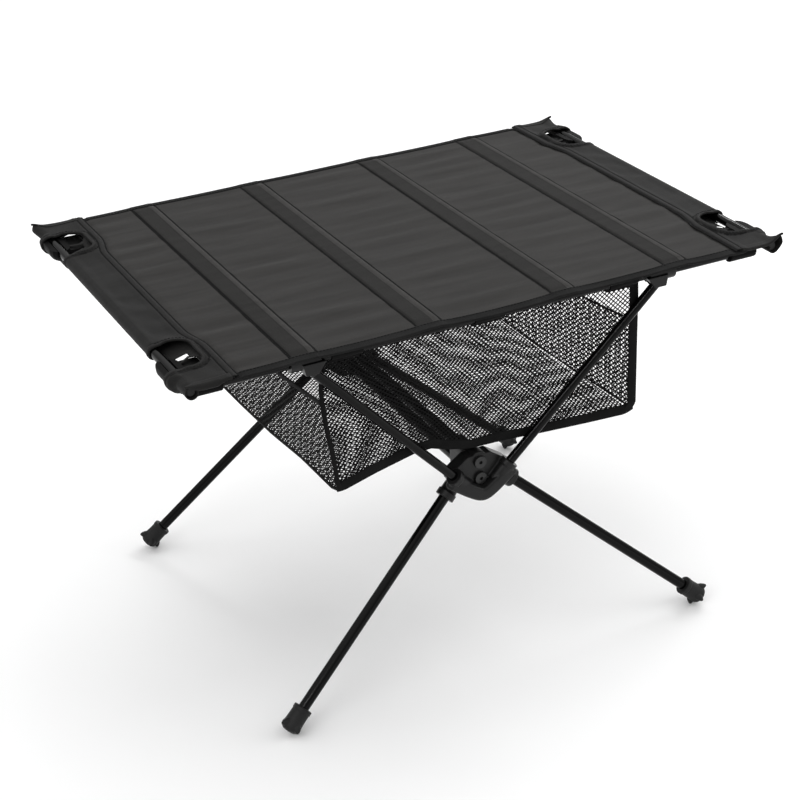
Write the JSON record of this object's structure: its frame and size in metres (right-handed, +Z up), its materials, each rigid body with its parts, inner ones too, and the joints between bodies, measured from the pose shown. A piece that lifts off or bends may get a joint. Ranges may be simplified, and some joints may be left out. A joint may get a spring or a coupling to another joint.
{
  "type": "folding camp kitchen table",
  "caption": "Low folding camp table with a ribbed fabric top held by end poles and rails, splayed pole legs on moulded hubs, and a net basket hung under the top.",
  "frame": {"origin": "on the ground, under the middle of the top", "axes": "+Z up, +X along the long side of the top, -Y towards the front long side"},
  "size_m": [0.601, 0.43, 0.388],
  "materials": {
    "anodised_tube": "gloss black anodised",
    "moulded_nylon": "satin black moulded nylon",
    "boot_rubber": "matt black rubber",
    "bare_aluminium": "plain turned aluminium",
    "screw_steel": "black zinc plated steel",
    "top_fabric": "coated charcoal oxford weave",
    "sleeve_fabric": "coated charcoal oxford weave",
    "hem_tape": "black ribbed tape",
    "slat_plastic": "plain extruded strip",
    "net": "black knitted polyester net",
    "basket_webbing": "black ribbed tape",
    "shock_cord": "black braided elastic"
  },
  "bodies": {
    "frame": {"front_hub": "moulded_nylon", "back_hub": "moulded_nylon", "upper_crossbar": "anodised_tube", "lower_crossbar": "anodised_tube", "crossbar_plugs": "bare_aluminium", "hub_screws": "screw_steel", "front_left_arm": "anodised_tube", "front_right_arm": "anodised_tube", "back_left_arm": "anodised_tube", "back_right_arm": "anodised_tube", "arm_end_plugs": "moulded_nylon", "arm_cords": "shock_cord"},
    "front_left_leg_assembly": {"front_left_leg": "anodised_tube", "front_left_boot": "boot_rubber", "front_left_leg_cord": "shock_cord"},
    "front_right_leg_assembly": {"front_right_leg": "anodised_tube", "front_right_boot": "boot_rubber", "front_right_leg_cord": "shock_cord"},
    "back_left_leg_assembly": {"back_left_leg": "anodised_tube", "back_left_boot": "boot_rubber", "back_left_leg_cord": "shock_cord"},
    "back_right_leg_assembly": {"back_right_leg": "anodised_tube", "back_right_boot": "boot_rubber", "back_right_leg_cord": "shock_cord"},
    "tabletop": {"fabric_top": "top_fabric", "left_end_sleeve": "sleeve_fabric", "right_end_sleeve": "sleeve_fabric", "front_hem": "hem_tape", "back_hem": "hem_tape", "left_outer_slat": "slat_plastic", "left_inner_slat": "slat_plastic", "right_inner_slat": "slat_plastic", "right_outer_slat": "slat_plastic", "left_end_pole": "anodised_tube", "right_end_pole": "anodised_tube", "end_pole_caps": "moulded_nylon", "front_left_rail": "anodised_tube", "front_right_rail": "anodised_tube", "back_left_rail": "anodised_tube", "back_right_rail": "anodised_tube", "front_rail_ferrule": "bare_aluminium", "back_rail_ferrule": "bare_aluminium", "rail_cords": "shock_cord", "front_left_corner": "moulded_nylon", "front_right_corner": "moulded_nylon", "back_left_corner": "moulded_nylon", "back_right_corner": "moulded_nylon", "front_left_tee": "moulded_nylon", "front_right_tee": "moulded_nylon", "back_left_tee": "moulded_nylon", "back_right_tee": "moulded_nylon", "basket_floor": "net", "basket_front": "net", "basket_back": "net", "basket_left": "net", "basket_right": "net", "basket_binding": "basket_webbing", "basket_loops": "basket_webbing"}
  },
  "joints": [
    {"name": "front_left_leg_pull", "type": "slide", "parent": "frame", "child": "front_left_leg_assembly", "axis": [-0.7324, -0.1535, -0.6633], "range_m": [0, 0.03], "stiffness_N_per_m": 60, "springref_m": -0.05},
    {"name": "front_right_leg_pull", "type": "slide", "parent": "frame", "child": "front_right_leg_assembly", "axis": [0.7324, -0.1535, -0.6633], "range_m": [0, 0.03], "stiffness_N_per_m": 60, "springref_m": -0.05},
    {"name": "back_left_leg_pull", "type": "slide", "parent": "frame", "child": "back_left_leg_assembly", "axis": [-0.7324, 0.1535, -0.6633], "range_m": [0, 0.03], "stiffness_N_per_m": 60, "springref_m": -0.05},
    {"name": "back_right_leg_pull", "type": "slide", "parent": "frame", "child": "back_right_leg_assembly", "axis": [0.7324, 0.1535, -0.6633], "range_m": [0, 0.03], "stiffness_N_per_m": 60, "springref_m": -0.05},
    {"name": "tabletop_lift", "type": "slide", "parent": "frame", "child": "tabletop", "axis": [0, 0, 1], "range_m": [0, 0.2]}
  ]
}
